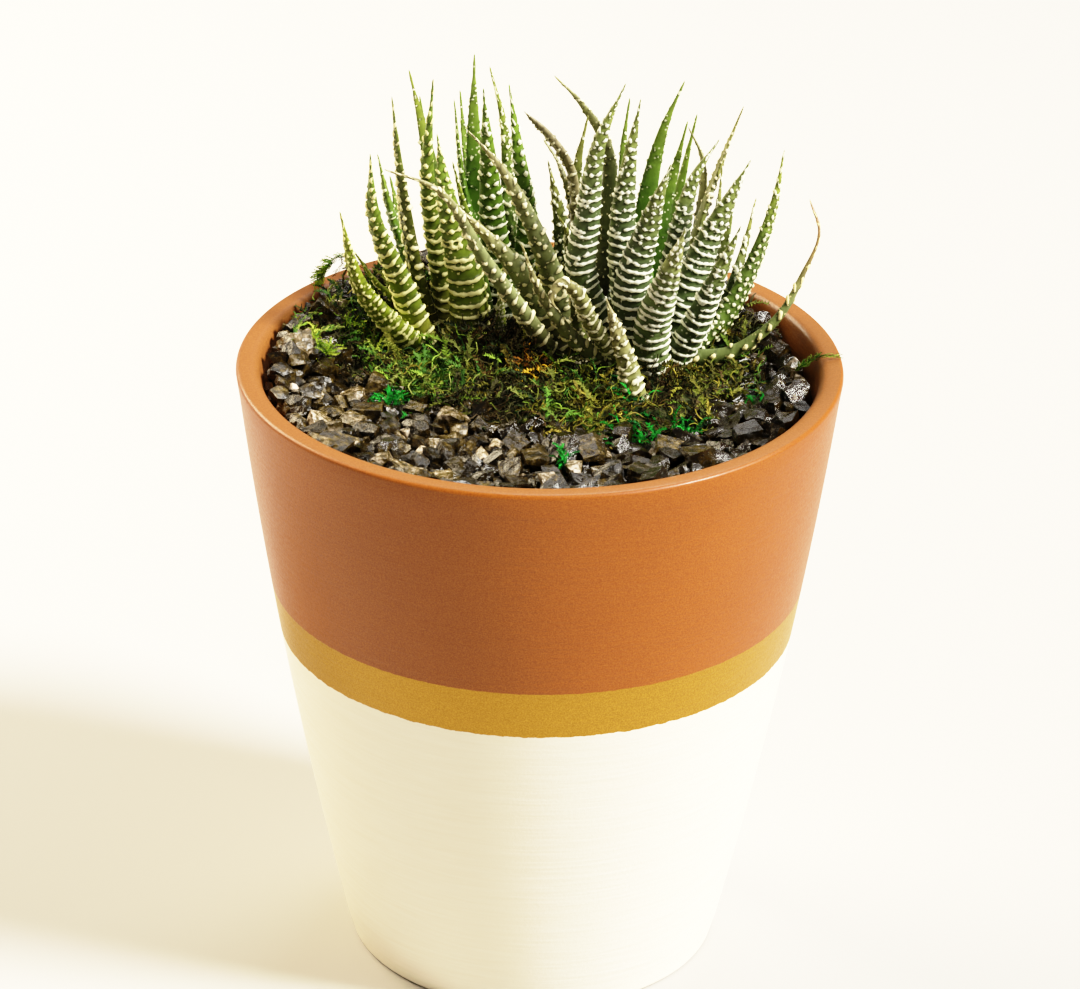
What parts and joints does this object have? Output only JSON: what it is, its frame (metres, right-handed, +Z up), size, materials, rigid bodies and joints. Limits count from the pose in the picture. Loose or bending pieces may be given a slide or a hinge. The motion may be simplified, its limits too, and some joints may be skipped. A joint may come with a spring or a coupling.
{
  "type": "potted haworthia",
  "caption": "Clump of zebra haworthia rosettes in a tapered painted terracotta pot, dressed with gravel and moss.",
  "frame": {"origin": "centre of the pot's underside, on the surface that it stands on", "axes": "+Z up along the pot's axis, -Y towards the front view of the picture, +X to the right"},
  "size_m": [0.12, 0.12, 0.181],
  "materials": {
    "painted_terracotta": "satin painted terracotta, with a gold band and a cream lower half",
    "potting_soil": "matt, dark, crumbly",
    "gravel": "crushed dark stone, damp and partly glossy",
    "moss": "matt, fibrous",
    "leaf": "satin green skin with raised white tubercle bands"
  },
  "bodies": {
    "root": {"pot": "painted_terracotta", "soil": "potting_soil", "gravel": "gravel", "moss": "moss", "rosette_left": "leaf", "rosette_rear": "leaf", "rosette_centre": "leaf", "rosette_back": "leaf", "rosette_right": "leaf", "pup": "leaf"}
  },
  "joints": []
}
